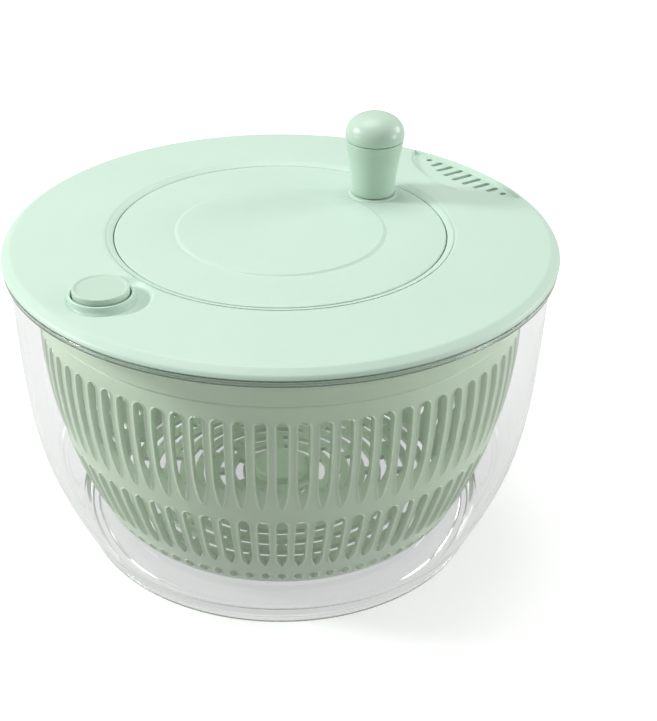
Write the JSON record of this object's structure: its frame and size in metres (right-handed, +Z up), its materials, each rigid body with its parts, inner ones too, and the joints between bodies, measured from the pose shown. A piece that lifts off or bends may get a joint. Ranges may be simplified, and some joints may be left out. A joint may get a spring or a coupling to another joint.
{
  "type": "salad spinner",
  "caption": "Crank salad spinner: clear bowl, slotted basket, geared lid with a flush crank disc and knob, a push-button brake and a slotted drain.",
  "frame": {"origin": "centre of the bowl's foot ring, on the plane it rests on", "axes": "+Z up along the axis of the bowl, basket and lid; -Y towards the viewer, so that the brake button is at the front left and the drain at the back right"},
  "size_m": [0.235, 0.235, 0.1774],
  "materials": {
    "clear_plastic": "clear polished acrylic or polystyrene",
    "mint_plastic": "fine satin moulding",
    "basket_plastic": "fine satin moulding",
    "gear_plastic": "natural acetal",
    "steel": "stainless",
    "rubber": "moulded"
  },
  "bodies": {
    "bowl": {"bowl": "clear_plastic"},
    "pivot": {"pivot_cap": "gear_plastic"},
    "basket": {"basket": "basket_plastic"},
    "lid": {"lid_shell": "mint_plastic", "gear_cover": "mint_plastic", "cover_screw_1": "steel", "cover_screw_2": "steel", "cover_screw_3": "steel", "cover_screw_4": "steel", "cover_screw_5": "steel", "cover_screw_6": "steel", "brake_spring": "steel"},
    "crank": {"crank_disc": "mint_plastic", "ring_gear": "gear_plastic", "knob_washer": "steel", "knob_screw": "steel"},
    "knob": {"knob_grip": "mint_plastic", "knob_cap": "mint_plastic"},
    "planet_1": {"planet_gear_1": "gear_plastic"},
    "planet_2": {"planet_gear_2": "gear_plastic"},
    "planet_3": {"planet_gear_3": "gear_plastic"},
    "rotor": {"sun_gear": "gear_plastic", "drive_plate": "basket_plastic", "drive_washer": "steel", "drive_screw": "steel"},
    "brake": {"brake_button": "mint_plastic", "button_ring": "steel", "brake_pad": "rubber"}
  },
  "joints": [
    {"name": "lid_lift", "type": "slide", "parent": "bowl", "child": "lid", "axis": [0, 0, 1], "range_m": [0, 0.3]},
    {"name": "crank_spin", "type": "hinge", "parent": "lid", "child": "crank", "pos_m": [0, 0, 0.138], "axis": [0, 0, 1], "continuous": true},
    {"name": "knob_spin", "type": "hinge", "parent": "crank", "child": "knob", "pos_m": [0.04144, 0.03811, 0.15], "axis": [0, 0, 1], "continuous": true},
    {"name": "planet_1_spin", "type": "hinge", "parent": "lid", "child": "planet_1", "pos_m": [0.03315, 0, 0.1335], "axis": [0, 0, 1], "continuous": true},
    {"name": "planet_2_spin", "type": "hinge", "parent": "lid", "child": "planet_2", "pos_m": [-0.01657, 0.02871, 0.1335], "axis": [0, 0, 1], "continuous": true},
    {"name": "planet_3_spin", "type": "hinge", "parent": "lid", "child": "planet_3", "pos_m": [-0.01657, -0.02871, 0.1335], "axis": [0, 0, 1], "continuous": true},
    {"name": "rotor_spin", "type": "hinge", "parent": "lid", "child": "rotor", "pos_m": [0, 0, 0.128], "axis": [0, 0, 1], "continuous": true},
    {"name": "brake_press", "type": "slide", "parent": "lid", "child": "brake", "axis": [0, 0, -1], "range_m": [0, 0.0025], "stiffness_N_per_m": 600, "springref_m": -0.004, "deforming": ["brake_spring"]},
    {"name": "basket_spin", "type": "hinge", "parent": "bowl", "child": "pivot", "pos_m": [0, 0, 0.015], "axis": [0, 0, 1], "continuous": true},
    {"name": "basket_lift", "type": "slide", "parent": "pivot", "child": "basket", "axis": [0, 0, 1], "range_m": [0, 0.15]}
  ],
  "couplings": [
    {"joint": "planet_1_spin", "follows": "crank_spin", "ratio": 2.625},
    {"joint": "planet_2_spin", "follows": "crank_spin", "ratio": 2.625},
    {"joint": "planet_3_spin", "follows": "crank_spin", "ratio": 2.625},
    {"joint": "rotor_spin", "follows": "crank_spin", "ratio": -4.2},
    {"joint": "basket_spin", "follows": "crank_spin", "ratio": -4.2},
    {"joint": "basket_lift", "follows": "lid_lift", "ratio": 0.5}
  ]
}
